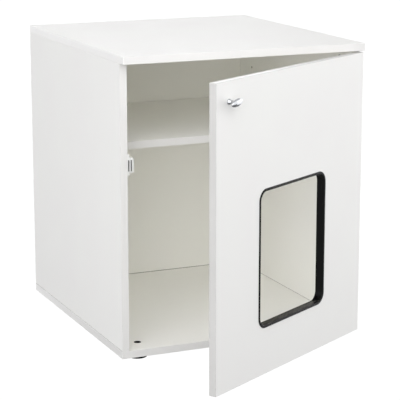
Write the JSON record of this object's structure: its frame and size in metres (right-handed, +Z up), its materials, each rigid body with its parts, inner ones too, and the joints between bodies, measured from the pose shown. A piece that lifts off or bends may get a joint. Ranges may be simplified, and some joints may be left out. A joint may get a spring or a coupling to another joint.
{
  "type": "cat cabinet",
  "caption": "White board cabinet that houses a cat litter box: side-hung door with a rounded cat opening lined in black, inner shelf, magnetic catch and levelling feet.",
  "frame": {"origin": "on the ground, under the middle of the object's box as it stands with its door ajar", "axes": "+X to the cabinet's right seen from the front, +Y from the door to the back, +Z up"},
  "size_m": [0.551, 0.8772, 0.652],
  "materials": {
    "white_board": "white melamine facing, satin, lightly pearled",
    "white_hardboard": "white lacquered hardboard, satin",
    "black_strip": "black soft PVC, glossy",
    "chrome": "polished chrome plate",
    "beech": "raw, fluted",
    "white_plastic": "moulded, semi-gloss",
    "ferrite": "ground, dull",
    "black_plastic": "moulded, fine grain",
    "black_steel": "blackened",
    "zinc": "die-cast, raw",
    "bright_zinc": "zinc plated, bright",
    "nickel_steel": "nickel plated"
  },
  "bodies": {
    "carcass": {"top_panel": "white_board", "bottom_panel": "white_board", "left_side_panel": "white_board", "right_side_panel": "white_board", "back_panel": "white_hardboard", "shelf": "white_board", "shelf_pins": "bright_zinc", "cam_locks": "zinc", "cam_bolts": "bright_zinc", "top_dowels": "beech", "bottom_dowels": "beech", "base_screws": "bright_zinc", "foot_inserts": "bright_zinc", "catch_housing": "white_plastic", "catch_magnet": "ferrite", "catch_pole_plates": "black_steel", "catch_screws": "bright_zinc", "upper_hinge_plate": "nickel_steel", "upper_hinge_arm": "nickel_steel", "upper_hinge_plate_screws": "bright_zinc", "upper_hinge_arm_screw": "bright_zinc", "lower_hinge_plate": "nickel_steel", "lower_hinge_arm": "nickel_steel", "lower_hinge_plate_screws": "bright_zinc", "lower_hinge_arm_screw": "bright_zinc"},
    "door": {"door_panel": "white_board", "opening_strip": "black_strip", "knob": "chrome", "knob_screw": "bright_zinc", "strike_plate": "bright_zinc", "strike_screw": "bright_zinc", "upper_hinge_cup": "nickel_steel", "upper_hinge_pin": "nickel_steel", "upper_hinge_cup_screws": "bright_zinc", "lower_hinge_cup": "nickel_steel", "lower_hinge_pin": "nickel_steel", "lower_hinge_cup_screws": "bright_zinc"},
    "front_left_foot": {"front_left_foot_pad": "black_plastic", "front_left_foot_stud": "black_steel"},
    "front_right_foot": {"front_right_foot_pad": "black_plastic", "front_right_foot_stud": "black_steel"},
    "back_left_foot": {"back_left_foot_pad": "black_plastic", "back_left_foot_stud": "black_steel"},
    "back_right_foot": {"back_right_foot_pad": "black_plastic", "back_right_foot_stud": "black_steel"}
  },
  "joints": [
    {"name": "door_swing", "type": "hinge", "parent": "carcass", "child": "door", "pos_m": [0.26593, -0.15116, 0.324], "axis": [0, 0, 1], "range_deg": [-30.7, 64.3]},
    {"name": "front_left_foot_screw", "type": "slide", "parent": "carcass", "child": "front_left_foot", "axis": [0, 0, -1], "range_m": [-0.003, 0.008]},
    {"name": "front_right_foot_screw", "type": "slide", "parent": "carcass", "child": "front_right_foot", "axis": [0, 0, -1], "range_m": [-0.003, 0.008]},
    {"name": "back_left_foot_screw", "type": "slide", "parent": "carcass", "child": "back_left_foot", "axis": [0, 0, -1], "range_m": [-0.003, 0.008]},
    {"name": "back_right_foot_screw", "type": "slide", "parent": "carcass", "child": "back_right_foot", "axis": [0, 0, -1], "range_m": [-0.003, 0.008]}
  ]
}
